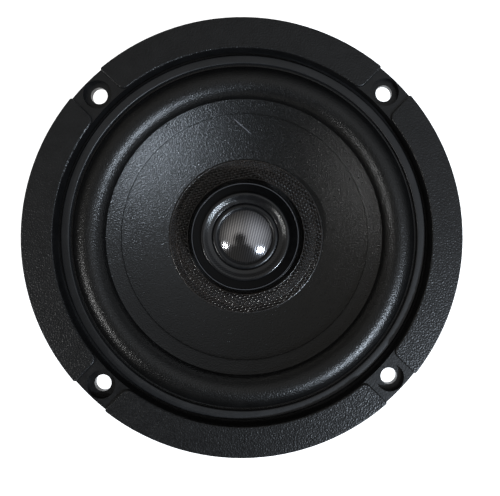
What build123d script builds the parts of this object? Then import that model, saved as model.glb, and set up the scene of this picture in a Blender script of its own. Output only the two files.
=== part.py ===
from build123d import *

import os
from math import cos, atan2, radians, tan

# A two-way coaxial car speaker. The axis of the speaker is Z, the listener is on the +Z side, and
# Z = 0 is the rear face of the flange, which bears on the panel that the speaker is screwed to.
# All sizes are millimetres. A "profile" is half of a section, drawn as radius and height.

# ---- driving dimensions ----
OUTER_R = 82.5              # outside of the raised pads
PAD_TOP = 6.0               # height of the pads above the panel
LAND_TOP = 5.0              # the four lower lands that carry the screws
LAND_STEP = 0.4             # how far the lands stand inside the pads' outside
LAND_WIDTH = 15.0
PAD_INNER_CORNER = 3.0
PAD_OUTER_CORNER = 0.8
PAD_TOP_EDGE = 0.5
WELL_R = 70.8               # inside of the flange
BODY_R = 70.5               # largest radius behind the panel
SCREW_CIRCLE_R = 76.35
SCREW_HOLE_R = 3.1
SCREW_HEAD_R = 5.3
SCREW_HEAD_FLOOR = 2.5
LAND_ANGLES = (45, 135, 225, 315)

SEAT_Z = 0.2                # floor that the surround is glued to
SEAT_INNER_R = 62.6
SEAT_THICKNESS = 3.7
SPOKE_TOP_R = 66.0
SPOKE_BOTTOM_R = 56.0
SPOKE_WIDTH = 13.0
WINDOW_TOP = -5.5
WINDOW_BOTTOM = -17.8
WINDOW_CORNER_R = 2.5
LEDGE_Z = -19.0             # ledge that the spider is glued to
LEDGE_INNER_R = 43.5
LEDGE_OUTER_R = 54.9
FLOOR_THICKNESS = 2.5
CUP_R = 46.0
BASE_Z = -26.0              # where the basket sits on the top plate
BASE_THICKNESS = 2.0
BASE_INNER_R = 23.0

GASKET_INNER_R = 66.0
GASKET_OUTER_R = 69.2
GASKET_HEIGHT = 1.4
GASKET_EDGE = 0.6

SURROUND_WALL = 0.8
SURROUND_OUTER_R = 69.4
ROLL_OUTER_R = 65.0
ROLL_INNER_R = 53.3
ROLL_CREST_Z = 4.9
LIP_INNER_R = 48.2
GLUE = 0.05                 # glue line between curved or sloping faces

CONE_WALL = 0.8
CONE_EDGE_R = 53.0
CONE_EDGE_Z = -1.45
CONE_BREAK_R = 48.0         # the straight glue land ends here and the flare begins
CONE_BREAK_Z = -3.9
CONE_NECK_Z = -13.6
CONE_COLLAR = 1.0

FORMER_INNER_R = 19.0
FORMER_OUTER_R = 19.4
FORMER_TOP = -12.8
FORMER_BOTTOM = -36.5
WINDING_OUTER_R = 20.2
WINDING_TOP = -22.5
WINDING_BOTTOM = -35.5

SPIDER_WALL = 0.5
SPIDER_Z = LEDGE_Z + SPIDER_WALL / 2
SPIDER_OUTER_R = 49.0
SPIDER_WAVE_START_R = 21.0
SPIDER_HALF_PITCH = 2.2
SPIDER_HALF_WAVES = 10
SPIDER_WAVE_HEIGHT = 1.1

TOP_PLATE_THICKNESS = 6.0
TOP_PLATE_INNER_R = 20.8
TOP_PLATE_OUTER_R = 42.5
MAGNET_INNER_R = 25.0
MAGNET_OUTER_R = 45.0
MAGNET_THICKNESS = 16.0
MAGNET_CHAMFER = 0.8
BACK_PLATE_THICKNESS = 6.0
POLE_R = 18.4
POLE_TOP = -25.5
TOP_PLATE_BOTTOM = BASE_Z - TOP_PLATE_THICKNESS
MAGNET_BOTTOM = TOP_PLATE_BOTTOM - MAGNET_THICKNESS
REAR_Z = MAGNET_BOTTOM - BACK_PLATE_THICKNESS

CHASSIS_SCREW_CIRCLE_R = 37.0
CHASSIS_SCREW_R = 2.0
CHASSIS_HEAD_R = 3.6
CHASSIS_HEAD_HEIGHT = 1.3
CHASSIS_HEAD_EDGE = 0.6
CROSS_LENGTH = 3.6
CROSS_WIDTH = 0.9
CROSS_DEPTH = 0.6
CHASSIS_SCREW_DEPTH = 5.0   # how far the shank goes into the top plate

STEM_R = 8.0
STEM_TAIL_R = 5.0
STEM_BORE_R = 3.0
STEM_CLEARANCE = 0.1
NUT_RECESS_R = 11.0
NUT_RECESS_DEPTH = 4.5
NUT_ACROSS_FLATS = 14.0
NUT_THICKNESS = 2.1
CHANNEL_WIDTH = 5.0
CHANNEL_DEPTH = 2.1

HOUSING_DISC_R = 21.1
HOUSING_TOP = -1.1
HOUSING_DISC_THICKNESS = 1.5
HOUSING_RIM_DROP = 3.5
HOUSING_RIM_WALL = 1.0
HOUSING_BEAD_WIDTH = 0.8   # raised bead round the edge of the disc
HOUSING_BEAD_HEIGHT = 0.2
HOUSING_BEAD_EDGE = 0.3
HOUSING_DISH = 0.45        # how far the disc falls from its bead to the face ring
TUB_OUTER_R = 17.3
TUB_INNER_R = 15.3
TUB_FLOOR_Z = -11.5
TUB_BOTTOM = -13.0
LEAD_SLOT_WIDTH = 3.6
LEAD_SLOT_DEPTH = 1.2       # how far the slot goes into the stem below the housing

POT_OUTER_R = 12.6
POT_INNER_R = 10.9
POT_FLOOR = 2.0
POT_TOP = -3.6
POT_CHAMFER = 0.8
TWEETER_MAGNET_R = 9.0
TWEETER_MAGNET_THICKNESS = 3.9
TWEETER_PLATE_R = 9.5
TWEETER_PLATE_THICKNESS = 2.0
FELT_R = 8.5
FELT_THICKNESS = 0.8

DOME_R = 10.2
DOME_BASE_Z = -2.2
DOME_HEIGHT = 2.8
DOME_WALL = 0.3
TWEETER_FORMER_INNER_R = 9.9
TWEETER_FORMER_OUTER_R = 10.1
TWEETER_WINDING_OUTER_R = 10.5
TWEETER_FORMER_BOTTOM = -6.6
TWEETER_WINDING_BOTTOM = -6.4
TWEETER_WINDING_TOP = -2.8
TWEETER_ROLL_OUTER_R = 12.8
TWEETER_ROLL_CREST_Z = -1.4
TWEETER_EDGE_R = 15.0
TWEETER_FABRIC = 0.3
MOUNTING_RING_INNER_R = 12.0
MOUNTING_RING_OUTER_R = 15.2
FACE_RING_INNER_R = 13.0
FACE_RING_OUTER_R = 17.2
FACE_RING_CREST_Z = -0.2
FACE_RING_CREST_R = 15.9    # the top turns down here toward the dome
FACE_RING_KNEE = (14.4, -1.05)
FACE_RING_INNER_TOP = -1.35
FACE_RING_OUTER_EDGE = 0.8
FACE_RING_INNER_EDGE = 1.6

SEAL_WALL = 0.6
SEAL_INNER_R = 22.9
SEAL_FOLD_R = 28.1
SEAL_OUTER_R = 30.8
SEAL_CREST = 1.0            # how far the woven ring stands above its glue band
SEAL_INNER_SHARE = 0.6      # its inner edge stands at this share of the crest

TERMINAL_ANGLE = 315
TONGUE_R = 67.0
TONGUE_WIDTH = 30.0
BOARD_INNER_R = 60.0
BOARD_OUTER_R = 67.4
BOARD_WIDTH = 27.0
BOARD_THICKNESS = 1.6
BOARD_CORNER = 1.0
TAB_THICKNESS = 0.8
TAB_BEND = 0.7
TAB_INNER_R = 60.3
TAB_OUTER_R = 68.4
TAB_BOTTOM = -29.0
TAB_OFFSET = 9.0
POSITIVE_TAB_WIDTH = 6.3
NEGATIVE_TAB_WIDTH = 4.8
TAB_HOLE_R = 0.9
TAB_HOLE_RISE = 2.6
TAB_TIP_CHAMFER = 1.0
RIVET_R = 1.2
RIVET_HEAD_R = 2.2
RIVET_HEAD_HEIGHT = 0.8
RIVET_HEAD_EDGE = 0.55
RIVET_X = 64.5
CAPACITOR_R = 4.0
CAPACITOR_LENGTH = 13.0
CAPACITOR_X = 61.0
CAPACITOR_Z = -25.6
CAPACITOR_EDGE = 0.5
CAPACITOR_GROOVE_WIDTH = 0.8
CAPACITOR_GROOVE_DEPTH = 0.3
CAPACITOR_GROOVE_SHARE = 0.36   # place of the groove, as a share of the length from the middle
CAPACITOR_LEAD_R = 0.35
TINSEL_R = 0.5
TINSEL_OFFSET = 8.0         # the braided leads lie this far from the terminals' middle line
TINSEL_REACH = 1.5          # how far they lie over the tabs
TWEETER_LEAD_R = 0.7
TWEETER_LEAD_OFFSET = 1.0   # each wire of the pair lies this far from the middle
TWEETER_LEAD_BEND = 1.6     # set by the bore and the slot that the wires turn in
TWEETER_LEAD_GAP = 0.4      # between the wires and the rear face
MAGNET_GAP = 1.1            # between the wires and the magnet's side
BORE_LEAD_SHARE = 0.45      # the wires run at this share of the bore's radius
TAB_WIRE_DROP = 2.7         # the negative wire crosses this far below the capacitor
SLEEVE_RUN = 4.5            # straight run of the wire before the sleeve's middle
SLEEVE_R = 1.1
SLEEVE_LENGTH = 7.0
SLEEVE_MIDDLE_X = 54.5
END_SHARE = 0.45            # an arc may use this share of the shorter run beside it

CLEAR = 1.0                 # how far a cutting tool reaches past the face that it cuts
NEAR = 0.1                  # tolerance when edges and corners are picked by their place

AT_TERMINAL = Rot(0, 0, TERMINAL_ANGLE)


# ---- shapes used again and again ----
def spin(profile):
    """Turn a profile once round the speaker's axis."""
    return revolve(Plane.XZ * profile, Axis.Z)


def ring(inner_r, outer_r, bottom, top):
    """A plain ring, or a disc where the inner radius is 0."""
    middle = Pos((inner_r + outer_r) / 2, (bottom + top) / 2)
    return spin(middle * Rectangle(outer_r - inner_r, top - bottom))


def turned(*points):
    """A ring turned from a profile with straight sides."""
    return spin(make_face(Polyline(*points, close=True)))


def pressed(edges, wall):
    """A thin ring whose wall is centred on a line of edges."""
    outline = offset(Wire(edges), wall / 2, side=Side.BOTH, kind=Kind.ARC)
    return spin(make_face(outline.edges()))


def cylinder(radius, bottom, top, x=0.0, y=0.0):
    """An upright round bar."""
    return Pos(x, y, (bottom + top) / 2) * Cylinder(radius, top - bottom)


def block(x_range, y_range, z_range):
    """A box given by its two limits along each axis."""
    centre = [sum(limits) / 2 for limits in (x_range, y_range, z_range)]
    sides = [limits[1] - limits[0] for limits in (x_range, y_range, z_range)]
    return Pos(*centre) * Box(*sides)


def around(shape, angles):
    """The shape repeated at each angle about the axis, as one group."""
    return Compound([solid for angle in angles for solid in (Rot(0, 0, angle) * shape).solids()])


def bend_radii(points):
    """For each corner the largest arc that its two runs allow."""
    corners = [Vector(*point) for point in points]
    radii = []
    for before, corner, after in zip(corners, corners[1:], corners[2:]):
        run_in = corner - before
        run_out = after - corner
        half_turn = radians(run_in.get_angle(run_out)) / 2
        radii.append(END_SHARE * min(run_in.length, run_out.length) / tan(half_turn))
    return radii


def lead(name, points, radius, largest_bend=100.0):
    """A round lead along straight runs joined by tangent arcs."""
    if len(points) == 2:
        path = Line(*points)
    else:
        radii = [min(bend, largest_bend) for bend in bend_radii(points)]
        path = FilletPolyline(*points, radius=radii)
        print(name, "arc radii", [round(value, 2) for value in radii])
    section = Plane(origin=path @ 0, z_dir=path % 0) * Circle(radius)
    solid = sweep(section, path=path)
    ratio = solid.volume / section.area / path.length
    print(name, "length", round(path.length, 1), "volume over section times length", round(ratio, 4))
    return solid


# ---- frame of the speaker ----
def flange_pads():
    """Four raised pads between the lands, with rounded corners and a softened top edge."""
    sketch = Circle(OUTER_R) - Circle(WELL_R)
    for angle in LAND_ANGLES[:2]:
        sketch -= Rot(0, 0, angle) * Rectangle(3 * OUTER_R, LAND_WIDTH)
    inner_corners = [v for v in sketch.vertices() if Vector(v.X, v.Y).length < SCREW_CIRCLE_R]
    sketch = fillet(inner_corners, PAD_INNER_CORNER)
    outer_corners = [v for v in sketch.vertices() if Vector(v.X, v.Y).length > OUTER_R - NEAR]
    sketch = fillet(outer_corners, PAD_OUTER_CORNER)
    pads = extrude(sketch, PAD_TOP)
    top_edges = pads.edges().group_by(Axis.Z)[-1]
    return fillet(top_edges, PAD_TOP_EDGE)


def windows():
    """The openings between the four spokes."""
    cut = ring(LEDGE_INNER_R, BODY_R + CLEAR, WINDOW_BOTTOM, WINDOW_TOP)
    for angle in LAND_ANGLES[:2]:
        cut -= Rot(0, 0, angle) * Box(4 * BODY_R, SPOKE_WIDTH, 4 * BODY_R)
    lines = cut.edges().filter_by(GeomType.LINE)
    straight = [line for line in lines if abs(line.tangent_at(0).Z) < NEAR]
    return fillet(straight, WINDOW_CORNER_R)


def make_basket():
    floor_bottom = LEDGE_Z - FLOOR_THICKNESS
    body = turned(
        (SEAT_INNER_R, SEAT_Z),
        (WELL_R, SEAT_Z),
        (WELL_R, LAND_TOP),
        (OUTER_R - LAND_STEP, LAND_TOP),
        (OUTER_R - LAND_STEP, 0),
        (BODY_R, 0),
        (BODY_R, SEAT_Z - SEAT_THICKNESS),
        (SPOKE_TOP_R, SEAT_Z - SEAT_THICKNESS),
        (SPOKE_BOTTOM_R, floor_bottom),
        (CUP_R, floor_bottom),
        (CUP_R, BASE_Z),
        (BASE_INNER_R, BASE_Z),
        (BASE_INNER_R, BASE_Z + BASE_THICKNESS),
        (LEDGE_INNER_R, BASE_Z + BASE_THICKNESS),
        (LEDGE_INNER_R, LEDGE_Z),
        (LEDGE_OUTER_R, LEDGE_Z),
        (SEAT_INNER_R, SEAT_Z - SEAT_THICKNESS),
    )
    body -= windows()
    body += flange_pads()
    body += AT_TERMINAL * block(
        (LEDGE_OUTER_R, TONGUE_R), (-TONGUE_WIDTH / 2, TONGUE_WIDTH / 2), (floor_bottom, LEDGE_Z)
    )
    screw_hole = cylinder(SCREW_HOLE_R, -CLEAR, PAD_TOP, SCREW_CIRCLE_R)
    screw_hole += cylinder(SCREW_HEAD_R, SCREW_HEAD_FLOOR, PAD_TOP + CLEAR, SCREW_CIRCLE_R)
    chassis_hole = cylinder(CHASSIS_SCREW_R, BASE_Z - CLEAR, LEDGE_Z, CHASSIS_SCREW_CIRCLE_R)
    for angle in LAND_ANGLES:
        body -= Rot(0, 0, angle) * screw_hole
        body -= Rot(0, 0, angle) * chassis_hole
    for side in (-1, 1):
        rivet_place = (RIVET_X, side * TAB_OFFSET)
        body -= AT_TERMINAL * cylinder(RIVET_R, floor_bottom - CLEAR, LEDGE_Z + CLEAR, *rivet_place)
    return body


def make_front_gasket_ring():
    bottom = SEAT_Z + SURROUND_WALL
    section = Pos((GASKET_INNER_R + GASKET_OUTER_R) / 2, bottom + GASKET_HEIGHT / 2) * Rectangle(
        GASKET_OUTER_R - GASKET_INNER_R, GASKET_HEIGHT
    )
    section = fillet(section.vertices().group_by(Axis.Y)[-1], GASKET_EDGE)
    return spin(section)


# ---- moving parts of the woofer ----
def make_surround():
    """Rubber half roll with a flat glue edge outside and a sloping glue lip inside."""
    edge_z = SEAT_Z + SURROUND_WALL / 2
    lip_slope = (CONE_EDGE_Z - CONE_BREAK_Z) / (CONE_EDGE_R - CONE_BREAK_R)
    lift = ((CONE_WALL + SURROUND_WALL) / 2 + GLUE) / cos(atan2(lip_slope, 1))
    lip_outer_z = CONE_EDGE_Z + lift + lip_slope * (ROLL_INNER_R - CONE_EDGE_R)
    lip_inner_z = CONE_EDGE_Z + lift + lip_slope * (LIP_INNER_R - CONE_EDGE_R)
    crest_r = (ROLL_OUTER_R + ROLL_INNER_R) / 2
    flange = Line((SURROUND_OUTER_R, edge_z), (ROLL_OUTER_R, edge_z))
    roll = ThreePointArc(
        (ROLL_OUTER_R, edge_z), (crest_r, ROLL_CREST_Z - SURROUND_WALL / 2), (ROLL_INNER_R, lip_outer_z)
    )
    lip = Line((ROLL_INNER_R, lip_outer_z), (LIP_INNER_R, lip_inner_z))
    return pressed([flange.edge(), roll.edge(), lip.edge()], SURROUND_WALL)


def cone_flare():
    """Centre line of the cone from the end of its glue land to the neck."""
    land_direction = (CONE_BREAK_R - CONE_EDGE_R, CONE_BREAK_Z - CONE_EDGE_Z)
    neck_r = FORMER_OUTER_R + GLUE + CONE_WALL / 2
    return TangentArc((CONE_BREAK_R, CONE_BREAK_Z), (neck_r, CONE_NECK_Z), tangent=land_direction)


def make_cone():
    """Curved cone with a straight land outside and a short collar on the former."""
    land = Line((CONE_EDGE_R, CONE_EDGE_Z), (CONE_BREAK_R, CONE_BREAK_Z))
    flare = cone_flare()
    neck = flare @ 1
    collar = Line(neck, (neck.X, neck.Y - CONE_COLLAR))
    return pressed([land.edge(), flare.edge(), collar.edge()], CONE_WALL)


def flare_height(radius):
    """Height of the cone's centre line at a radius, from the circle of its flare."""
    arc = cone_flare().edge()
    centre = arc.arc_center
    drop = (arc.radius**2 - (radius - centre.X) ** 2) ** 0.5
    return centre.Y - drop if centre.Y > CONE_BREAK_Z else centre.Y + drop


def make_dust_seal_ring():
    """Woven ring glued to the cone, with a gently raised skirt that nearly reaches the tweeter."""
    lift = (CONE_WALL + SEAL_WALL) / 2 + 2 * GLUE
    outer = (SEAL_OUTER_R, flare_height(SEAL_OUTER_R) + lift)
    fold = (SEAL_FOLD_R, flare_height(SEAL_FOLD_R) + lift)
    middle = ((SEAL_FOLD_R + SEAL_INNER_R) / 2, fold[1] + SEAL_CREST)
    inner = (SEAL_INNER_R + SEAL_WALL / 2, fold[1] + SEAL_CREST * SEAL_INNER_SHARE)
    band = Line(outer, fold)
    skirt = ThreePointArc(fold, middle, inner)
    return pressed([band.edge(), skirt.edge()], SEAL_WALL)


def make_spider():
    """Corrugated suspension: half waves up and down between two flat glue edges."""
    r = SPIDER_WAVE_START_R
    edges = [Line((FORMER_OUTER_R + GLUE + SPIDER_WALL / 2, SPIDER_Z), (r, SPIDER_Z)).edge()]
    for count in range(SPIDER_HALF_WAVES):
        height = SPIDER_WAVE_HEIGHT * (-1) ** count
        crest = (r + SPIDER_HALF_PITCH / 2, SPIDER_Z + height)
        r_next = r + SPIDER_HALF_PITCH
        edges.append(ThreePointArc((r, SPIDER_Z), crest, (r_next, SPIDER_Z)).edge())
        r = r_next
    edges.append(Line((r, SPIDER_Z), (SPIDER_OUTER_R, SPIDER_Z)).edge())
    return pressed(edges, SPIDER_WALL)


def make_voice_coil_former():
    return ring(FORMER_INNER_R, FORMER_OUTER_R, FORMER_BOTTOM, FORMER_TOP)


def make_voice_coil_winding():
    return ring(FORMER_OUTER_R, WINDING_OUTER_R, WINDING_BOTTOM, WINDING_TOP)


def make_tinsel_leads():
    """Two braided leads that run from the former over the spider to the terminal tabs."""
    height = LEDGE_Z + BOARD_THICKNESS + TAB_THICKNESS + TINSEL_R
    inner_r = (FORMER_OUTER_R**2 - TINSEL_OFFSET**2) ** 0.5 + TINSEL_R
    leads = []
    for side in (-1, 1):
        y = side * TINSEL_OFFSET
        points = [(inner_r, y, height), (TAB_INNER_R + TINSEL_REACH, y, height)]
        leads.append(lead("tinsel lead", points, TINSEL_R))
    return AT_TERMINAL * Compound(leads)


# ---- magnet system ----
def make_top_plate():
    plate = ring(TOP_PLATE_INNER_R, TOP_PLATE_OUTER_R, TOP_PLATE_BOTTOM, BASE_Z)
    hole = cylinder(CHASSIS_SCREW_R, BASE_Z - CHASSIS_SCREW_DEPTH, BASE_Z + CLEAR, CHASSIS_SCREW_CIRCLE_R)
    for angle in LAND_ANGLES:
        plate -= Rot(0, 0, angle) * hole
    return plate


def make_magnet_ring():
    magnet = ring(MAGNET_INNER_R, MAGNET_OUTER_R, MAGNET_BOTTOM, TOP_PLATE_BOTTOM)
    circles = magnet.edges().filter_by(GeomType.CIRCLE)
    rims = [circle for circle in circles if circle.radius > MAGNET_INNER_R + NEAR]
    return chamfer(rims, MAGNET_CHAMFER)


def make_yoke():
    """Back plate and pole in one, with a stem bore, a nut recess and a channel for the leads."""
    yoke = ring(STEM_TAIL_R + STEM_CLEARANCE, TOP_PLATE_OUTER_R, REAR_Z, MAGNET_BOTTOM)
    yoke += ring(STEM_TAIL_R + STEM_CLEARANCE, POLE_R, MAGNET_BOTTOM, POLE_TOP)
    yoke -= cylinder(NUT_RECESS_R, REAR_Z - CLEAR, REAR_Z + NUT_RECESS_DEPTH)
    length = (0, TOP_PLATE_OUTER_R + CLEAR)
    width = (-CHANNEL_WIDTH / 2, CHANNEL_WIDTH / 2)
    depth = (REAR_Z - CLEAR, REAR_Z + CHANNEL_DEPTH)
    return yoke - AT_TERMINAL * block(length, width, depth)


def make_chassis_screws():
    """Pan-head screws with a cross recess, from the basket floor into the top plate."""
    seat = BASE_Z + BASE_THICKNESS
    screw = cylinder(CHASSIS_SCREW_R, BASE_Z - CHASSIS_SCREW_DEPTH, seat, CHASSIS_SCREW_CIRCLE_R)
    head = cylinder(CHASSIS_HEAD_R, seat, seat + CHASSIS_HEAD_HEIGHT, CHASSIS_SCREW_CIRCLE_R)
    head = fillet(head.edges().group_by(Axis.Z)[-1], CHASSIS_HEAD_EDGE)
    cross = Box(CROSS_LENGTH, CROSS_WIDTH, 2 * CROSS_DEPTH)
    cross += Box(CROSS_WIDTH, CROSS_LENGTH, 2 * CROSS_DEPTH)
    screw = screw + head - Pos(CHASSIS_SCREW_CIRCLE_R, 0, seat + CHASSIS_HEAD_HEIGHT) * cross
    return around(screw, LAND_ANGLES)


# ---- tweeter, on its stem ----
def lead_slot():
    """Slot that takes the tweeter's wires from the stem's bore to the side of the pot."""
    width = (-LEAD_SLOT_WIDTH / 2, LEAD_SLOT_WIDTH / 2)
    depth = (TUB_BOTTOM - LEAD_SLOT_DEPTH, TUB_FLOOR_Z + CLEAR)
    return AT_TERMINAL * block((0, TUB_INNER_R), width, depth)


def make_tweeter_stem():
    """Hollow post: a thick part on the pole, a tail through it and a stud in the housing floor."""
    nut_bottom = REAR_Z + NUT_RECESS_DEPTH - NUT_THICKNESS
    stem = turned(
        (STEM_BORE_R, nut_bottom),
        (STEM_TAIL_R, nut_bottom),
        (STEM_TAIL_R, POLE_TOP),
        (STEM_R, POLE_TOP),
        (STEM_R, TUB_BOTTOM),
        (STEM_TAIL_R, TUB_BOTTOM),
        (STEM_TAIL_R, TUB_FLOOR_Z),
        (STEM_BORE_R, TUB_FLOOR_Z),
    )
    return stem - lead_slot()


def make_tweeter_stem_nut():
    top = REAR_Z + NUT_RECESS_DEPTH
    nut = extrude(RegularPolygon(NUT_ACROSS_FLATS / 2, 6, major_radius=False), NUT_THICKNESS)
    nut -= Pos(0, 0, NUT_THICKNESS / 2) * Cylinder(STEM_TAIL_R, 2 * NUT_THICKNESS)
    return Pos(0, 0, top - NUT_THICKNESS) * nut


def make_tweeter_housing():
    """Cup with a wide dished disc edge that has a bead round it and turns down at its rim."""
    bead_inner_r = HOUSING_DISC_R - HOUSING_BEAD_WIDTH
    dish_top = HOUSING_TOP - HOUSING_BEAD_HEIGHT
    outline = Polyline(
        (STEM_TAIL_R, TUB_BOTTOM),
        (TUB_OUTER_R, TUB_BOTTOM),
        (TUB_OUTER_R, HOUSING_TOP - HOUSING_DISC_THICKNESS),
        (HOUSING_DISC_R - HOUSING_RIM_WALL, HOUSING_TOP - HOUSING_DISC_THICKNESS),
        (HOUSING_DISC_R - HOUSING_RIM_WALL, HOUSING_TOP - HOUSING_RIM_DROP),
        (HOUSING_DISC_R, HOUSING_TOP - HOUSING_RIM_DROP),
        (HOUSING_DISC_R, HOUSING_TOP),
        (bead_inner_r, HOUSING_TOP),
        (bead_inner_r - HOUSING_BEAD_HEIGHT, dish_top),
        (FACE_RING_OUTER_R, dish_top - HOUSING_DISH),
        (FACE_RING_OUTER_R, DOME_BASE_Z),
        (TUB_INNER_R, DOME_BASE_Z),
        (TUB_INNER_R, TUB_FLOOR_Z),
        (STEM_TAIL_R, TUB_FLOOR_Z),
        close=True,
    )
    profile = make_face(outline)
    profile = fillet(profile.vertices().group_by(Axis.Y)[-1], HOUSING_BEAD_EDGE)
    return spin(profile) - lead_slot()


def make_tweeter_cup():
    """Steel pot that closes the magnetic circuit of the tweeter."""
    return turned(
        (0, TUB_FLOOR_Z),
        (POT_OUTER_R - POT_CHAMFER, TUB_FLOOR_Z),
        (POT_OUTER_R, TUB_FLOOR_Z + POT_CHAMFER),
        (POT_OUTER_R, POT_TOP),
        (POT_INNER_R, POT_TOP),
        (POT_INNER_R, TUB_FLOOR_Z + POT_FLOOR),
        (0, TUB_FLOOR_Z + POT_FLOOR),
    )


def make_tweeter_magnet():
    bottom = TUB_FLOOR_Z + POT_FLOOR
    return ring(0, TWEETER_MAGNET_R, bottom, bottom + TWEETER_MAGNET_THICKNESS)


def make_tweeter_top_plate():
    bottom = TUB_FLOOR_Z + POT_FLOOR + TWEETER_MAGNET_THICKNESS
    return ring(0, TWEETER_PLATE_R, bottom, bottom + TWEETER_PLATE_THICKNESS)


def make_tweeter_felt_pad():
    bottom = TUB_FLOOR_Z + POT_FLOOR + TWEETER_MAGNET_THICKNESS + TWEETER_PLATE_THICKNESS
    return ring(0, FELT_R, bottom, bottom + FELT_THICKNESS)


def make_tweeter_mounting_ring():
    top = DOME_BASE_Z - TWEETER_FABRIC
    return ring(MOUNTING_RING_INNER_R, MOUNTING_RING_OUTER_R, POT_TOP, top)


def make_tweeter_face_ring():
    """Rounded ring that clamps the edge of the tweeter surround and slopes down to the dome."""
    outline = Polyline(
        (FACE_RING_INNER_R, DOME_BASE_Z),
        (FACE_RING_OUTER_R, DOME_BASE_Z),
        (FACE_RING_OUTER_R, FACE_RING_CREST_Z),
        (FACE_RING_CREST_R, FACE_RING_CREST_Z),
        FACE_RING_KNEE,
        (FACE_RING_INNER_R, FACE_RING_INNER_TOP),
        close=True,
    )
    profile = make_face(outline)
    crest = profile.vertices().group_by(Axis.Y)[-1].sort_by(Axis.X)
    profile = fillet(crest[-1], FACE_RING_OUTER_EDGE)
    knee = profile.vertices().sort_by_distance((FACE_RING_CREST_R, FACE_RING_CREST_Z))[0]
    return spin(fillet(knee, FACE_RING_INNER_EDGE))


def make_tweeter_dome():
    """Stiffened cloth cap: the part of a hollow ball that lies above the coil former."""
    ball_r = (DOME_R**2 + DOME_HEIGHT**2) / (2 * DOME_HEIGHT)
    ball = Pos(0, 0, DOME_BASE_Z + DOME_HEIGHT - ball_r) * (Sphere(ball_r) - Sphere(ball_r - DOME_WALL))
    return ball & cylinder(DOME_R + CLEAR, DOME_BASE_Z, DOME_BASE_Z + DOME_HEIGHT + CLEAR)


def make_tweeter_surround():
    """Narrow half roll between the dome and the clamped edge."""
    height = DOME_BASE_Z - TWEETER_FABRIC / 2
    inner_r = TWEETER_WINDING_OUTER_R - GLUE
    crest = ((TWEETER_ROLL_OUTER_R + inner_r) / 2, TWEETER_ROLL_CREST_Z - TWEETER_FABRIC / 2)
    edge = Line((TWEETER_EDGE_R, height), (TWEETER_ROLL_OUTER_R, height))
    roll = ThreePointArc((TWEETER_ROLL_OUTER_R, height), crest, (inner_r, height))
    lip = Line((inner_r, height), (TWEETER_FORMER_OUTER_R + GLUE + TWEETER_FABRIC / 2, height))
    return pressed([edge.edge(), roll.edge(), lip.edge()], TWEETER_FABRIC)


def make_tweeter_coil_former():
    return ring(TWEETER_FORMER_INNER_R, TWEETER_FORMER_OUTER_R, TWEETER_FORMER_BOTTOM, DOME_BASE_Z)


def make_tweeter_coil_winding():
    return ring(TWEETER_FORMER_OUTER_R, TWEETER_WINDING_OUTER_R, TWEETER_WINDING_BOTTOM, TWEETER_WINDING_TOP)


# ---- terminals, capacitor and leads; X points outward at the terminal board ----
def make_terminal_board():
    """Flat insulating board riveted on the basket's tongue."""
    half = BOARD_WIDTH / 2
    board = block((BOARD_INNER_R, BOARD_OUTER_R), (-half, half), (LEDGE_Z, LEDGE_Z + BOARD_THICKNESS))
    board = fillet(board.edges().filter_by(Axis.Z), BOARD_CORNER)
    for side in (-1, 1):
        board -= cylinder(RIVET_R, LEDGE_Z - CLEAR, 0, RIVET_X, side * TAB_OFFSET)
    return AT_TERMINAL * board


def make_terminal_tab(width, side):
    """Flat tab on the board, bent down outside it, with a hole near its tip."""
    middle = side * TAB_OFFSET
    bottom = LEDGE_Z + BOARD_THICKNESS
    top = bottom + TAB_THICKNESS
    limits = (middle - width / 2, middle + width / 2)
    tab = block((TAB_INNER_R, TAB_OUTER_R), limits, (bottom, top))
    tab += block((TAB_OUTER_R - TAB_THICKNESS, TAB_OUTER_R), limits, (TAB_BOTTOM, top))
    outer_bend = tab.edges().filter_by(Axis.Y).sort_by_distance((TAB_OUTER_R, middle, top))[0]
    tab = fillet(outer_bend, TAB_BEND)
    tip = tab.edges().filter_by(Axis.X).group_by(Axis.Z)[0]
    tab = chamfer(tip, TAB_TIP_CHAMFER)
    tab -= cylinder(RIVET_R, bottom - CLEAR, 0, RIVET_X, middle)
    hole = Rot(0, 90, 0) * Cylinder(TAB_HOLE_R, 4 * TAB_THICKNESS)
    tab -= Pos(TAB_OUTER_R, middle, TAB_BOTTOM + TAB_HOLE_RISE) * hole
    return AT_TERMINAL * tab


def make_terminal_tab_positive():
    return make_terminal_tab(POSITIVE_TAB_WIDTH, 1)


def make_terminal_tab_negative():
    return make_terminal_tab(NEGATIVE_TAB_WIDTH, -1)


def make_terminal_rivets():
    top = LEDGE_Z + BOARD_THICKNESS + TAB_THICKNESS
    bottom = LEDGE_Z - FLOOR_THICKNESS
    rivets = []
    for side in (-1, 1):
        place = (RIVET_X, side * TAB_OFFSET)
        head = cylinder(RIVET_HEAD_R, top, top + RIVET_HEAD_HEIGHT, *place)
        head = fillet(head.edges().group_by(Axis.Z)[-1], RIVET_HEAD_EDGE)
        tail = cylinder(RIVET_HEAD_R, bottom - RIVET_HEAD_HEIGHT, bottom, *place)
        rivets.append(cylinder(RIVET_R, bottom, top, *place) + head + tail)
    return AT_TERMINAL * Compound([rivet.solid() for rivet in rivets])


def make_crossover_capacitor():
    """Round capacitor under the tongue, lying along it, with a rolled groove near one end."""
    body = Cylinder(CAPACITOR_R, CAPACITOR_LENGTH)
    body = fillet(body.edges(), CAPACITOR_EDGE)
    groove = Cylinder(CAPACITOR_R + CLEAR, CAPACITOR_GROOVE_WIDTH)
    groove -= Cylinder(CAPACITOR_R - CAPACITOR_GROOVE_DEPTH, CAPACITOR_GROOVE_WIDTH)
    body -= Pos(0, 0, CAPACITOR_LENGTH * CAPACITOR_GROOVE_SHARE) * groove
    return AT_TERMINAL * Pos(CAPACITOR_X, 0, CAPACITOR_Z) * Rot(90, 0, 0) * body


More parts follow.
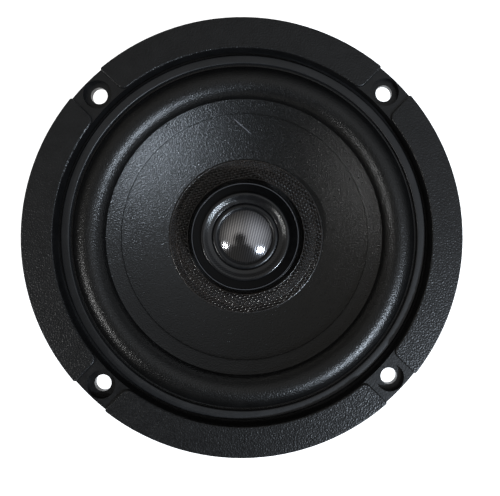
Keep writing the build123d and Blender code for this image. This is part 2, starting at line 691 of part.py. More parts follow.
def make_capacitor_leads():
    """One wire to the positive tab, the other bent back to the tweeter's wire."""
    end = CAPACITOR_LENGTH / 2
    to_tab = [
        (CAPACITOR_X, end, CAPACITOR_Z),
        (CAPACITOR_X, TAB_OFFSET, CAPACITOR_Z),
        (TAB_OUTER_R - TAB_THICKNESS, TAB_OFFSET, CAPACITOR_Z),
    ]
    to_sleeve = [
        (CAPACITOR_X, -end, CAPACITOR_Z),
        (CAPACITOR_X, -TAB_OFFSET, CAPACITOR_Z),
        (SLEEVE_MIDDLE_X, -TAB_OFFSET, CAPACITOR_Z),
    ]
    wires = [lead("capacitor lead", points, CAPACITOR_LEAD_R) for points in (to_tab, to_sleeve)]
    return AT_TERMINAL * Compound(wires)


def make_tweeter_leads():
    """Two insulated wires down the stem, along the yoke's channel and up beside the magnet."""
    channel_z = REAR_Z + TWEETER_LEAD_R + TWEETER_LEAD_GAP
    rise_x = MAGNET_OUTER_R + TWEETER_LEAD_R + MAGNET_GAP
    slot_z = (TUB_FLOOR_Z + TUB_BOTTOM) / 2
    side_x = (POT_OUTER_R + TUB_INNER_R) / 2
    bore_x = STEM_BORE_R * BORE_LEAD_SHARE
    tab_x = TAB_OUTER_R - TAB_THICKNESS
    tab_wire_z = CAPACITOR_Z - TAB_WIRE_DROP
    sleeve_run_x = SLEEVE_MIDDLE_X - SLEEVE_RUN
    ends = {
        -1: [(rise_x, tab_wire_z), (SLEEVE_MIDDLE_X, tab_wire_z), (tab_x, tab_wire_z)],
        1: [(rise_x, CAPACITOR_Z), (sleeve_run_x, CAPACITOR_Z), (SLEEVE_MIDDLE_X, CAPACITOR_Z)],
    }
    wires = []
    for side, last_points in ends.items():
        y = side * TWEETER_LEAD_OFFSET
        points = [
            (side_x, y, POT_TOP),
            (side_x, y, slot_z),
            (bore_x, y, slot_z),
            (bore_x, y, channel_z),
            (rise_x, y, channel_z),
        ]
        points += [(x, y if x == rise_x else -TAB_OFFSET, z) for x, z in last_points]
        wires.append(lead("tweeter lead", points, TWEETER_LEAD_R, TWEETER_LEAD_BEND))
    return AT_TERMINAL * Compound(wires)


def make_lead_sleeve():
    """Shrunk sleeve over the joint between the capacitor's wire and the tweeter's wire."""
    sleeve = Cylinder(SLEEVE_R, SLEEVE_LENGTH) - Cylinder(TWEETER_LEAD_R, SLEEVE_LENGTH)
    return AT_TERMINAL * Pos(SLEEVE_MIDDLE_X, -TAB_OFFSET, CAPACITOR_Z) * Rot(0, 90, 0) * sleeve


PARTS = {
    "basket": make_basket,
    "front_gasket_ring": make_front_gasket_ring,
    "surround": make_surround,
    "cone": make_cone,
    "dust_seal_ring": make_dust_seal_ring,
    "spider": make_spider,
    "tinsel_leads": make_tinsel_leads,
    "top_plate": make_top_plate,
    "magnet_ring": make_magnet_ring,
    "yoke": make_yoke,
    "chassis_screws": make_chassis_screws,
    "tweeter_stem": make_tweeter_stem,
    "tweeter_stem_nut": make_tweeter_stem_nut,
    "tweeter_housing": make_tweeter_housing,
    "tweeter_cup": make_tweeter_cup,
    "tweeter_magnet": make_tweeter_magnet,
    "tweeter_top_plate": make_tweeter_top_plate,
    "tweeter_felt_pad": make_tweeter_felt_pad,
    "tweeter_mounting_ring": make_tweeter_mounting_ring,
    "tweeter_face_ring": make_tweeter_face_ring,
    "tweeter_dome": make_tweeter_dome,
    "tweeter_coil_former": make_tweeter_coil_former,
    "tweeter_coil_winding": make_tweeter_coil_winding,
    "tweeter_surround": make_tweeter_surround,
    "voice_coil_former": make_voice_coil_former,
    "voice_coil_winding": make_voice_coil_winding,
    "terminal_board": make_terminal_board,
    "terminal_tab_positive": make_terminal_tab_positive,
    "terminal_tab_negative": make_terminal_tab_negative,
    "terminal_rivets": make_terminal_rivets,
    "crossover_capacitor": make_crossover_capacitor,
    "capacitor_leads": make_capacitor_leads,
    "tweeter_leads": make_tweeter_leads,
    "lead_sleeve": make_lead_sleeve,
}

os.makedirs("parts", exist_ok=True)
for name, make in PARTS.items():
    shape = make()
    print(name, round(shape.volume, 1), shape.is_valid)
    export_step(shape, f"parts/{name}.step")
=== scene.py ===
# %% [markdown]
# # A coaxial car speaker
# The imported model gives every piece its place, in metres, with the speaker's axis on Z and the
# panel that it is screwed to at Z = 0. This lesson gives the pieces their looks. Pieces whose shape
# is already right keep it and get a finish. Pressed, moulded and woven pieces are built again here
# as smooth surfaces, because a solid model only holds their size.

import bmesh
import bpy
import numpy as np
from mathutils import Euler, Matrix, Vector


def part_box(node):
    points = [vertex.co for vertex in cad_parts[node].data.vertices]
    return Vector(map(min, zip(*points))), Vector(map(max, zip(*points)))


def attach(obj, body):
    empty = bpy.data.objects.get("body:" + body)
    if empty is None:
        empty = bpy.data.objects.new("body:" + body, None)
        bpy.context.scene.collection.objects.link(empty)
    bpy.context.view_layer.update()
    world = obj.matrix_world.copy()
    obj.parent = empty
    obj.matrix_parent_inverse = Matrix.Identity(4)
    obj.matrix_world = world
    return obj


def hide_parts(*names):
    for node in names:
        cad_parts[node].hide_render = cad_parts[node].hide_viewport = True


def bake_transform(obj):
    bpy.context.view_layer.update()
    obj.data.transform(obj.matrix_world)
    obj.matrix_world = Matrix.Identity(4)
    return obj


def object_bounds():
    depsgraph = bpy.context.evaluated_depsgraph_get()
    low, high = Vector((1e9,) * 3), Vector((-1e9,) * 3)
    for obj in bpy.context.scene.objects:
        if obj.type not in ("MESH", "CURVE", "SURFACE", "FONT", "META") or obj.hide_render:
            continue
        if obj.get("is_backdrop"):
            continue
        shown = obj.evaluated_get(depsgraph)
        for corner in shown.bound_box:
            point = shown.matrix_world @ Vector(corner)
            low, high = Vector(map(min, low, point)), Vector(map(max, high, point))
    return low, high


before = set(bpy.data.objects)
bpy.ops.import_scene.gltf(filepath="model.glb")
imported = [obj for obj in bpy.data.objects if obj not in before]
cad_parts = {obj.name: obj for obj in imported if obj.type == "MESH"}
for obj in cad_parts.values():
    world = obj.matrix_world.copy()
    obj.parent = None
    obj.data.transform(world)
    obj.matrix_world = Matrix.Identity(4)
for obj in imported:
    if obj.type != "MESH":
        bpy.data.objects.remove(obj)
CAD_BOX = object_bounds()
MM = 0.001
cad_size = [round(side / MM, 1) for side in CAD_BOX[1] - CAD_BOX[0]]
print("the model has", len(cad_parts), "nodes and is", cad_size, "mm")

# %% [markdown]
# ## Camera
# A speaker is shown from in front, near enough for its deep parts to shift against its rim.
# The lens is a little wide and the camera stands 200 mm above the pads, almost on the axis. A slight
# turn about the line of sight keeps the fixing lands from standing exactly on the diagonals.

# %% Camera
CAMERA_PLACE = (8.95, 2.34, 206.4)     # millimetres
CAMERA_TURN = (0.526, -1.78, -0.919)   # degrees about X, Y and the line of sight
camera = bpy.data.objects.new("camera", bpy.data.cameras.new("camera"))
camera.data.lens = 38.6
camera.data.shift_x = -0.070
camera.data.shift_y = -0.0456
camera.location = [value * MM for value in CAMERA_PLACE]
camera.rotation_euler = Euler([np.radians(turn) for turn in CAMERA_TURN])
camera.data.clip_start = 1 * MM
bpy.context.scene.collection.objects.link(camera)
bpy.context.scene.camera = camera
print("camera", round(camera.location.z / MM), "mm above the panel")

# %% [markdown]
# ## Floor and light
# Black pieces show mostly what they reflect, so each lamp is placed where a surface sends the eye.
# Flat black faces look straight up at the lamps near the axis, and the bulging dome looks sideways
# at everything. A pale floor that glows a little stands for a bright table under even daylight.

# %% Floor
floor_z = CAD_BOX[0].z
bpy.ops.mesh.primitive_plane_add(size=6, location=(0, 0, floor_z - 0.01 * MM))
floor = bpy.context.object
floor.name = "floor"
floor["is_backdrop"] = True
floor_finish = bpy.data.materials.new("pale_table")
floor_finish.use_nodes = True
floor_shader = floor_finish.node_tree.nodes["Principled BSDF"]
floor_shader.inputs["Base Color"].default_value = (0.9, 0.9, 0.9, 1)
floor_shader.inputs["Roughness"].default_value = 0.9
floor_shader.inputs["Emission Color"].default_value = (1, 1, 1, 1)
floor_shader.inputs["Emission Strength"].default_value = 1.0
floor.data.materials.append(floor_finish)


# %% Lamps
def lamp(name, toward, lean, distance, size, watts, colour=(1, 1, 1)):
    """A square soft lamp. toward is its compass angle from +X, lean its angle away from straight
    above, both in degrees, seen from the middle of the speaker."""
    light = bpy.data.lights.new(name, "AREA")
    light.size = size
    light.energy = watts
    light.color = colour
    made = bpy.data.objects.new(name, light)
    around, away = np.radians(toward), np.radians(lean)
    ray = Vector((np.cos(around) * np.sin(away), np.sin(around) * np.sin(away), np.cos(away)))
    made.location = ray * distance
    made.rotation_euler = ray.to_track_quat("Z", "Y").to_euler()
    bpy.context.scene.collection.objects.link(made)


lamp("window_lower_right", -46, 47, 1.2, 0.10, 11.5, (0.76, 0.87, 1.0))
lamp("window_lower_left", 203, 55, 1.2, 0.04, 2.8)
bpy.context.scene.view_settings.view_transform = "Standard"

# %% [markdown]
# The room itself is made by the world: even pale walls near the floor, a grey ceiling that is lighter
# straight above and cooler and lighter on the right, and a dark shape where the onlooker leans
# in: a round head almost above the speaker, and shoulders that fill the side towards -Y. Without
# that dark shape black pieces turn grey, as in fog.


# %% Room
def clamp_step(tree, value, low, high, to_low=0.0, to_high=1.0):
    """A smooth change from to_low to to_high while value goes from low to high."""
    made = tree.nodes.new("ShaderNodeMapRange")
    made.interpolation_type = "SMOOTHSTEP"
    tree.links.new(value, made.inputs["Value"])
    for socket, number in zip(("From Min", "From Max", "To Min", "To Max"), (low, high, to_low, to_high)):
        made.inputs[socket].default_value = number
    return made.outputs["Result"]


def maths(tree, operation, first, second=0.0):
    """One sum on two numbers, each of them a constant or another node's output."""
    made = tree.nodes.new("ShaderNodeMath")
    made.operation = operation
    for socket, value in zip(made.inputs, (first, second)):
        if isinstance(value, bpy.types.NodeSocket):
            tree.links.new(value, socket)
        else:
            socket.default_value = value
    return made.outputs[0]


SHOULDER_EDGE = 0.06    # half width of the soft edges, on a ball of radius 1
HEAD_X, HEAD_Y = -0.245, -0.11
HEAD_SOLID, HEAD_SOFT = 0.20, 0.29
world = bpy.data.worlds.new("room")
world.use_nodes = True
room = world.node_tree
toward = room.nodes.new("ShaderNodeSeparateXYZ")
room.links.new(room.nodes.new("ShaderNodeTexCoord").outputs["Generated"], toward.inputs["Vector"])
east, north, up = (toward.outputs[axis] for axis in "XYZ")
left_shoulder = maths(room, "ADD", maths(room, "MULTIPLY", east, 0.06), -0.27)
right_shoulder = maths(room, "ADD", maths(room, "MULTIPLY", east, -0.69), -0.26)
shoulders = maths(room, "MINIMUM", left_shoulder, right_shoulder)
outside_shoulders = clamp_step(room, maths(room, "SUBTRACT", north, shoulders), -SHOULDER_EDGE, SHOULDER_EDGE)
head_x = maths(room, "SUBTRACT", east, HEAD_X)
head_y = maths(room, "SUBTRACT", north, HEAD_Y)
head_distance = maths(room, "SQRT", maths(room, "ADD", maths(room, "MULTIPLY", head_x, head_x),
                                          maths(room, "MULTIPLY", head_y, head_y)))
outside_head = clamp_step(room, head_distance, HEAD_SOLID, HEAD_SOFT)
side_light = maths(room, "MULTIPLY", clamp_step(room, east, -0.05, 0.25, 0.42, 0.58),
                   clamp_step(room, north, 0.0, 0.9, 1.0, 0.4))
ceiling = maths(room, "MULTIPLY", side_light, clamp_step(room, up, 0.4, 0.95, 0.15, 1.0))
lit = maths(room, "MULTIPLY", maths(room, "MULTIPLY", outside_shoulders, outside_head), ceiling)
walls = clamp_step(room, up, 0.22, 0.08, 0.0, 0.8)
strength = maths(room, "MAXIMUM", maths(room, "ADD", lit, 0.05), walls)
room.links.new(strength, room.nodes["Background"].inputs["Strength"])
tone = room.nodes.new("ShaderNodeValToRGB")
tone.color_ramp.elements[0].color = (1.0, 0.965, 0.90, 1)
tone.color_ramp.elements[1].color = (0.93, 0.96, 1.0, 1)
room.links.new(clamp_step(room, east, -0.5, 0.4), tone.inputs["Fac"])
room.links.new(tone.outputs["Color"], room.nodes["Background"].inputs["Color"])
bpy.context.scene.world = world
print("the room has", len(room.nodes), "nodes")

# %% [markdown]
# ## Shapes made from formulas
# Nearly every piece of a speaker is turned or pressed round one axis, so one helper carries a
# profile (radius and height) round Z. A profile is a list of stretches, each a straight line or an
# arc. A pressed wall is a centre line given a thickness, with rounded ends.


# %% Profiles
def line(start, end, count=2):
    """Points evenly spaced on the straight way from start to end."""
    share = np.linspace(0, 1, count)[:, None]
    return np.array(start) * (1 - share) + np.array(end) * share


def arc_from(centre, start, end, count):
    """Points on a circle about centre, from start to end by the shorter way: centre plus radius
    times (cos a, sin a), with the angle a evenly spaced."""
    begin = np.array(start) - centre
    finish = np.array(end) - centre
    first = np.arctan2(begin[1], begin[0])
    sweep = np.arctan2(finish[1], finish[0]) - first
    sweep = (sweep + np.pi) % (2 * np.pi) - np.pi
    angles = first + sweep * np.linspace(0, 1, count)
    return centre + np.hypot(*begin) * np.stack([np.cos(angles), np.sin(angles)], 1)


def crown(start, end, rise, count=48):
    """Arc between two points that rises above the middle of its chord by rise: its centre lies on
    the chord's middle line, (half chord squared minus rise squared) / (2 rise) below the chord."""
    start, end = np.array(start), np.array(end)
    chord = end - start
    half = np.hypot(*chord) / 2
    normal = np.array([-chord[1], chord[0]]) / (2 * half)
    normal = normal * np.sign(normal[1] * rise)
    depth = (half**2 - rise**2) / (2 * abs(rise))
    return arc_from((start + end) / 2 - normal * depth, start, end, count)


def tangent_arc(start, direction, end, count=64):
    """Arc that leaves start along direction and reaches end: its radius is the distance squared
    over twice the sideways offset."""
    start, end = np.array(start), np.array(end)
    ahead = np.array(direction) / np.hypot(*direction)
    side = np.array([-ahead[1], ahead[0]])
    offset = (end - start) @ side
    radius = ((end - start) @ (end - start)) / (2 * offset)
    return arc_from(start + side * radius, start, end, count)


def join(*stretches):
    """Stretches end to end, with the shared points kept once."""
    kept = [stretches[0]] + [part[1:] for part in stretches[1:]]
    return np.concatenate(kept)


def wall(centre, thickness, round_steps=6):
    """Closed outline of a wall: the centre line moved half a thickness to each side along its
    normal, and a half circle round each end."""
    along = np.gradient(centre, axis=0)
    along = along / np.hypot(along[:, 0], along[:, 1])[:, None]
    side = np.stack([-along[:, 1], along[:, 0]], 1) * thickness / 2
    turn = np.linspace(0, np.pi, round_steps + 2)[1:-1, None]
    last = centre[-1] + side[-1] * np.cos(turn) + along[-1] * np.sin(turn) * thickness / 2
    first = centre[0] - side[0] * np.cos(turn) - along[0] * np.sin(turn) * thickness / 2
    return np.concatenate([centre + side, last, (centre - side)[::-1], first])


def rounded(corners, radii, steps=6):
    """Closed outline with straight sides and rounded corners: at each corner the arc starts
    radius times tan(half the turn) before the corner and ends as far after it."""
    corners = np.array(corners, float)
    pieces = []
    for index, radius in enumerate(radii):
        here = corners[index]
        to_last = corners[index - 1] - here
        to_next = corners[(index + 1) % len(corners)] - here
        to_last /= np.hypot(*to_last)
        to_next /= np.hypot(*to_next)
        if radius == 0:
            pieces.append(here[None])
            continue
        half_turn = (np.pi - np.arccos(np.clip(to_last @ to_next, -1, 1))) / 2
        reach = radius * np.tan(half_turn)
        middle = (to_last + to_next) / np.hypot(*(to_last + to_next))
        centre = here + middle * radius / np.cos(half_turn)
        pieces.append(arc_from(centre, here + to_last * reach, here + to_next * reach, steps))
    return np.concatenate(pieces)


def even(profile, step):
    """A closed outline with points at even distances of about step, read along its length."""
    loop = np.concatenate([profile, profile[:1]])
    run = np.concatenate([[0], np.cumsum(np.hypot(*np.diff(loop, axis=0).T))])
    places = np.linspace(0, run[-1], int(run[-1] / step), endpoint=False)
    return np.stack([np.interp(places, run, loop[:, axis]) for axis in (0, 1)], 1)


# %% Surfaces
def carried_round(profile, steps):
    """Grid of points: x = radius cos a, y = radius sin a, z = height, for steps angles a."""
    angle = np.linspace(0, 2 * np.pi, steps, endpoint=False)[:, None]
    x = profile[None, :, 0] * np.cos(angle)
    y = profile[None, :, 0] * np.sin(angle)
    z = np.broadcast_to(profile[None, :, 1], x.shape)
    return np.stack([x, y, z], -1)


def grid_faces(rows, columns, wrap_rows=True, wrap_columns=True):
    """Four corners of every cell of a grid, with the last row or column joined to the first."""
    row = np.arange(rows if wrap_rows else rows - 1)[:, None]
    column = np.arange(columns if wrap_columns else columns - 1)[None, :]
    next_row, next_column = (row + 1) % rows, (column + 1) % columns
    corners = [row * columns + column, next_row * columns + column]
    corners += [next_row * columns + next_column, row * columns + next_column]
    return np.stack([np.broadcast_to(c, (row.size, column.size)) for c in corners], -1).reshape(-1, 4)


def make_piece(name, points, faces, finish, body, node=None):
    """Puts points and four-cornered faces in a mesh, merges doubles, turns the faces outward, and
    lets the piece ride on a body, in place of a node of the model."""
    mesh = bpy.data.meshes.new(name)
    mesh.vertices.add(len(points))
    mesh.vertices.foreach_set("co", (points * MM).ravel())
    mesh.loops.add(faces.size)
    mesh.loops.foreach_set("vertex_index", faces.ravel())
    mesh.polygons.add(len(faces))
    mesh.polygons.foreach_set("loop_start", np.arange(0, faces.size, 4))
    mesh.update(calc_edges=True)
    work = bmesh.new()
    work.from_mesh(mesh)
    bmesh.ops.remove_doubles(work, verts=work.verts, dist=0.0005 * MM)
    bmesh.ops.recalc_face_normals(work, faces=work.faces)
    work.to_mesh(mesh)
    work.free()
    mesh.polygons.foreach_set("use_smooth", np.ones(len(mesh.polygons), bool))
    mesh.set_sharp_from_angle(angle=np.radians(38))
    mesh.materials.append(finish)
    piece = bpy.data.objects.new(name, mesh)
    bpy.context.scene.collection.objects.link(piece)
    if body:
        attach(piece, body)
    if node:
        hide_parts(node)
    print(name, len(mesh.polygons), "faces")
    return piece


def turned(name, profile, finish, body, node=None, steps=288, closed=True, relief=None):
    """A profile carried round the axis. relief may move the points: it gets the grid and gives it back."""
    grid = carried_round(profile, steps)
    if relief:
        grid = relief(grid)
    faces = grid_faces(steps, len(profile), wrap_columns=closed)
    return make_piece(name, grid.reshape(-1, 3), faces, finish, body, node)


def bends_between(piece):
    """Bakes the piece's placement into its points and reads the points out. Nothing moves them after
    that, so the piece keeps its shape."""
    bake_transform(piece)
    places = np.empty(len(piece.data.vertices) * 3)
    piece.data.vertices.foreach_get("co", places)


# %% [markdown]
# ## Finishes
# Each finish starts from its even values on the shader itself. Fine unevenness is then added from
# noise measured in object space, so that its size is true: a grain of 0.5 mm needs a noise scale of
# one over 0.0005. The same noise moves the colour a little, the roughness a little more, and the
# surface through a bump.


# %% Helpers for finishes
def add(tree, kind, settings=None, **inputs):
    """A node with its settings and inputs. An input that is another node's output gets linked."""
    made = tree.nodes.new(kind)
    for name, value in (settings or {}).items():
        setattr(made, name, value)
    for name, value in inputs.items():
        socket = made.inputs[name.replace("_", " ")]
        if isinstance(value, bpy.types.NodeSocket):
            tree.links.new(value, socket)
        else:
            socket.default_value = value
    return made


def finish_base(name, colour, roughness, **others):
    """A material with the values that are the same all over, and its tree and shader."""
    made = bpy.data.materials.new(name)
    made.use_nodes = True
    shader = made.node_tree.nodes["Principled BSDF"]
    shader.inputs["Base Color"].default_value = (*colour, 1)
    shader.inputs["Roughness"].default_value = roughness
    for socket, value in others.items():
        shader.inputs[socket.replace("_", " ")].default_value = value
    return made, made.node_tree, shader


def place(tree):
    """Object coordinates, in metres."""
    return tree.nodes.new("ShaderNodeTexCoord").outputs["Object"]


def noise(tree, size, detail=3.0, where=None, rough=0.55):
    """Cloudy values between 0 and 1 whose lumps are about size millimetres across."""
    made = add(tree, "ShaderNodeTexNoise", Vector=where or place(tree), Scale=1 / (size * MM), Detail=detail,
               Roughness=rough)
    return made.outputs["Fac"]


def cells(tree, size, where=None):
    """Distance to the nearest of scattered points about size millimetres apart: rounded grains."""
    made = add(tree, "ShaderNodeTexVoronoi", {"feature": "SMOOTH_F1"}, Vector=where or place(tree),
               Scale=1 / (size * MM), Smoothness=0.35)
    return made.outputs["Distance"]


def mapped(tree, value, low, high, to_low, to_high):
    """A value moved from one range to another and held inside it."""
    made = add(tree, "ShaderNodeMapRange", {"clamp": True}, Value=value, From_Min=low, From_Max=high,
               To_Min=to_low, To_Max=to_high)
    return made.outputs["Result"]


def two_colours(tree, shader, value, low_colour, high_colour, low=0.3, high=0.7):
    """Base colour that goes from one tone to another with a value."""
    ramp = tree.nodes.new("ShaderNodeValToRGB")
    ramp.color_ramp.elements[0].position = low
    ramp.color_ramp.elements[1].position = high
    ramp.color_ramp.elements[0].color = (*low_colour, 1)
    ramp.color_ramp.elements[1].color = (*high_colour, 1)
    tree.links.new(value, ramp.inputs["Fac"])
    tree.links.new(ramp.outputs["Color"], shader.inputs["Base Color"])


def bumped(tree, shader, height, depth, strength=1.0):
    """Surface relief: height 1 stands depth millimetres above height 0."""
    made = add(tree, "ShaderNodeBump", Height=height, Distance=depth * MM, Strength=strength)
    tree.links.new(made.outputs["Normal"], shader.inputs["Normal"])


def radius_of(tree):
    """Distance from the speaker's axis, in metres."""
    apart = add(tree, "ShaderNodeSeparateXYZ", Vector=place(tree)).outputs
    squares = maths(tree, "ADD", maths(tree, "MULTIPLY", apart["X"], apart["X"]),
                    maths(tree, "MULTIPLY", apart["Y"], apart["Y"]))
    return maths(tree, "SQRT", squares)


def weave(tree, pitch):
    """Over-and-under height of a plain weave: high where both sine waves agree, low where they
    differ, with threads pitch millimetres apart."""
    apart = add(tree, "ShaderNodeSeparateXYZ", Vector=place(tree)).outputs
    waves = [maths(tree, "SINE", maths(tree, "MULTIPLY", apart[axis], np.pi / (pitch * MM))) for axis in "XY"]
    product = maths(tree, "MULTIPLY", *waves)
    return mapped(tree, product, -1, 1, 0, 1)


# %% [markdown]
# ## Cast frame under coarse black paint
# The frame is a casting, sprayed with a textured black paint. The raised pads have coarse grains
# that sparkle, and the lower lands where the screw heads sit are finer. Its shape in the model is
# right, so it only needs the paint. Height above the panel tells the pads from the lands.


# %% Textured paint
ABOVE_LANDS, BELOW_PADS = 5.2, 5.4    # the lands are at 5 mm and the pads at 6 mm


def textured_paint():
    """Black paint with grains about 0.7 mm across, at full height on the pads and a third on the lands."""
    black = (0.006, 0.006, 0.0065)
    made, tree, shader = finish_base("textured_black_paint", black, 0.32, Specular_IOR_Level=0.40)
    height = add(tree, "ShaderNodeSeparateXYZ", Vector=place(tree)).outputs["Z"]
    on_pad = mapped(tree, height, ABOVE_LANDS * MM, BELOW_PADS * MM, 0.35, 1.0)
    coarse = maths(tree, "ADD", cells(tree, 0.7), maths(tree, "MULTIPLY", noise(tree, 0.5, 1), 0.8))
    relief = maths(tree, "MULTIPLY", coarse, on_pad)
    bumped(tree, shader, relief, 0.10)
    two_colours(tree, shader, noise(tree, 6.0), (0.005, 0.005, 0.0053), (0.009, 0.009, 0.0093))
    tree.links.new(mapped(tree, noise(tree, 1.2), 0.3, 0.7, 0.30, 0.40), shader.inputs["Roughness"])
    return made


def smooth_cad(name, finish, angle=32):
    """Gives a node of the model its finish and even shading: doubles are welded, edges sharper
    than the angle stay crisp, and large flat faces keep their own direction."""
    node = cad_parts[name]
    node.data.materials.clear()
    node.data.materials.append(finish)
    node.data.polygons.foreach_set("use_smooth", np.ones(len(node.data.polygons), bool))
    weld = node.modifiers.new("weld", "WELD")
    weld.merge_threshold = 0.001 * MM
    split = node.modifiers.new("crisp_edges", "EDGE_SPLIT")
    split.split_angle = np.radians(angle)
    flatten = node.modifiers.new("even_faces", "WEIGHTED_NORMAL")
    flatten.keep_sharp = True
    return node


smooth_cad("basket", textured_paint())
print("basket", len(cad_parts["basket"].data.polygons), "triangles")

# %% [markdown]
# ## Gasket ring and surround
# The surround is butyl rubber, moulded as a half roll with a flat glue edge outside and a lip that
# is glued on the cone inside. The gasket ring is a smoother strip of rubber over the glue edge. Both
# are profiles carried round the axis.


# %% Rubber
def rubber(name, colour, roughness, grain, depth):
    """Satin black rubber with a fine grain and faint pale bloom."""
    made, tree, shader = finish_base(name, colour, roughness, Specular_IOR_Level=0.5)
    fine = maths(tree, "ADD", noise(tree, grain, 1), maths(tree, "MULTIPLY", noise(tree, grain * 6, 2), 0.08))
    bumped(tree, shader, fine, depth)
    pale = [min(1.0, value * 1.7) for value in colour]
    two_colours(tree, shader, noise(tree, 9.0, 4), colour, pale, 0.45, 0.8)
    tree.links.new(mapped(tree, noise(tree, 1.0), 0.3, 0.7, roughness - 0.03, roughness + 0.04),
                   shader.inputs["Roughness"])
    return made


SURROUND_RUBBER = rubber("surround_rubber", (0.004, 0.0039, 0.0038), 0.30, 0.5, 0.14)
GASKET_RUBBER = rubber("gasket_rubber", (0.010, 0.010, 0.0105), 0.40, 0.35, 0.03)

# %% Gasket ring
gasket_low, gasket_high = (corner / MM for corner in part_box("front_gasket_ring"))
GASKET_WIDTH = 3.2
GASKET_EDGE_R = 0.5
gasket_outer = gasket_high.x
gasket_inner = gasket_outer - GASKET_WIDTH
gasket_corners = [(gasket_inner, gasket_low.z), (gasket_outer, gasket_low.z), (gasket_outer, gasket_high.z),
                  (gasket_inner, gasket_high.z)]
gasket_profile = rounded(gasket_corners, (0, 0, GASKET_EDGE_R, GASKET_EDGE_R))
turned("gasket_ring", gasket_profile, GASKET_RUBBER, "frame", "front_gasket_ring")

# %% Surround
surround_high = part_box("surround")[1] / MM
cone_low, cone_high = (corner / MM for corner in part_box("cone"))
RUBBER_WALL = 0.8
CONE_WALL = 0.8
GLUE_EDGE = 4.8          # width of the flat edge under the gasket ring
GLUE_LAND = np.array([5.0, 2.45])    # how far the cone's straight land reaches, outward and up
GLUE = 0.05              # thickness of the glue
cone_edge = np.array([cone_high.x - CONE_WALL / 2, cone_high.z - CONE_WALL / 2])
cone_break = cone_edge - GLUE_LAND
land_lean = np.arctan2(GLUE_LAND[1], GLUE_LAND[0])
lip_lift = np.array([0.0, ((RUBBER_WALL + CONE_WALL) / 2 + GLUE) / np.cos(land_lean)])
glue_z = gasket_low.z - RUBBER_WALL / 2
roll_outer = (surround_high.x - GLUE_EDGE, glue_z)
roll_inner = cone_edge + lip_lift + GLUE_LAND * 0.06
lip_end = cone_break + lip_lift + GLUE_LAND * 0.04
chord_middle_z = (roll_outer[1] + roll_inner[1]) / 2
surround_line = join(
    line((surround_high.x - RUBBER_WALL / 2, glue_z), roll_outer, 8),
    crown(roll_outer, roll_inner, surround_high.z - RUBBER_WALL / 2 - chord_middle_z, 72),
    line(roll_inner, lip_end, 12),
)
surround_outline = wall(surround_line, RUBBER_WALL)
surround = turned("surround_roll", surround_outline, SURROUND_RUBBER, None, "surround", steps=360)
bends_between(surround)

# %% [markdown]
# ## Cone
# The cone is a thin injection-moulded cup with a gentle flare: flat near the surround and steeper
# toward the voice coil. It is a straight glue land, one arc that leaves the land smoothly, and a
# short collar on the coil's former. The mould leaves it satin, with a fine sandy grain. Handling has
# left hair-thin scratches: stretched noise gives the faint ones all over. Two on the +Y side, a long
# clear one and a short faint one, are drawn one by one from a start, an end and half a width.


# %% Cone finish
def scratch(tree, start, end, half_width):
    """1 on a straight scratch from start to end in XY, in millimetres, and 0 away from it: how far
    a point lies along the line and across it are both products with the line's direction."""
    ahead = np.array(end) - start
    length = float(np.hypot(*ahead))
    ahead = ahead / length
    apart = add(tree, "ShaderNodeSeparateXYZ", Vector=place(tree)).outputs
    x = maths(tree, "SUBTRACT", apart["X"], start[0] * MM)
    y = maths(tree, "SUBTRACT", apart["Y"], start[1] * MM)
    along = maths(tree, "ADD", maths(tree, "MULTIPLY", x, ahead[0]), maths(tree, "MULTIPLY", y, ahead[1]))
    across = maths(tree, "SUBTRACT", maths(tree, "MULTIPLY", y, ahead[0]),
                   maths(tree, "MULTIPLY", x, ahead[1]))
    on_line = clamp_step(tree, maths(tree, "ABSOLUTE", across), half_width * MM, half_width * 0.4 * MM)
    from_middle = maths(tree, "ABSOLUTE", maths(tree, "SUBTRACT", along, length / 2 * MM))
    return maths(tree, "MULTIPLY", on_line, clamp_step(tree, from_middle, length / 2 * MM, length * 0.3 * MM))


LONG_SCRATCH = ((-4.4, 46.7), (3.3, 40.2), 0.15)
SHORT_SCRATCH = ((-12.1, 38.7), (-10.0, 37.4), 0.18)


def moulded_cone():
    """Black moulded plastic: sandy grain, faint stretched scratches, and the two that are drawn."""
    black = (0.0044, 0.0043, 0.0040)
    made, tree, shader = finish_base("moulded_cone_plastic", black, 0.31, Specular_IOR_Level=0.5)
    sandy = maths(tree, "ADD", noise(tree, 0.5, 1), maths(tree, "MULTIPLY", noise(tree, 4.0, 3), 0.08))
    stretched = add(tree, "ShaderNodeMapping", Vector=place(tree), Rotation=(0, 0, np.radians(28)),
                    Scale=(0.06, 1.0, 1.0))
    faint = mapped(tree, noise(tree, 0.35, 2, stretched.outputs["Vector"]), 0.70, 0.76, 0, 0.35)
    short = maths(tree, "MULTIPLY", scratch(tree, *SHORT_SCRATCH), 0.5)
    drawn = maths(tree, "MAXIMUM", scratch(tree, *LONG_SCRATCH), short)
    bumped(tree, shader, maths(tree, "SUBTRACT", sandy, faint), 0.15)
    tone = maths(tree, "MAXIMUM", maths(tree, "MULTIPLY", noise(tree, 12.0, 5), 0.012), drawn)
    two_colours(tree, shader, tone, (0.0030, 0.0029, 0.0026), (0.20, 0.205, 0.22), 0.0, 1.0)
    tree.links.new(mapped(tree, noise(tree, 0.9, 4), 0.3, 0.7, 0.26, 0.36), shader.inputs["Roughness"])
    return made


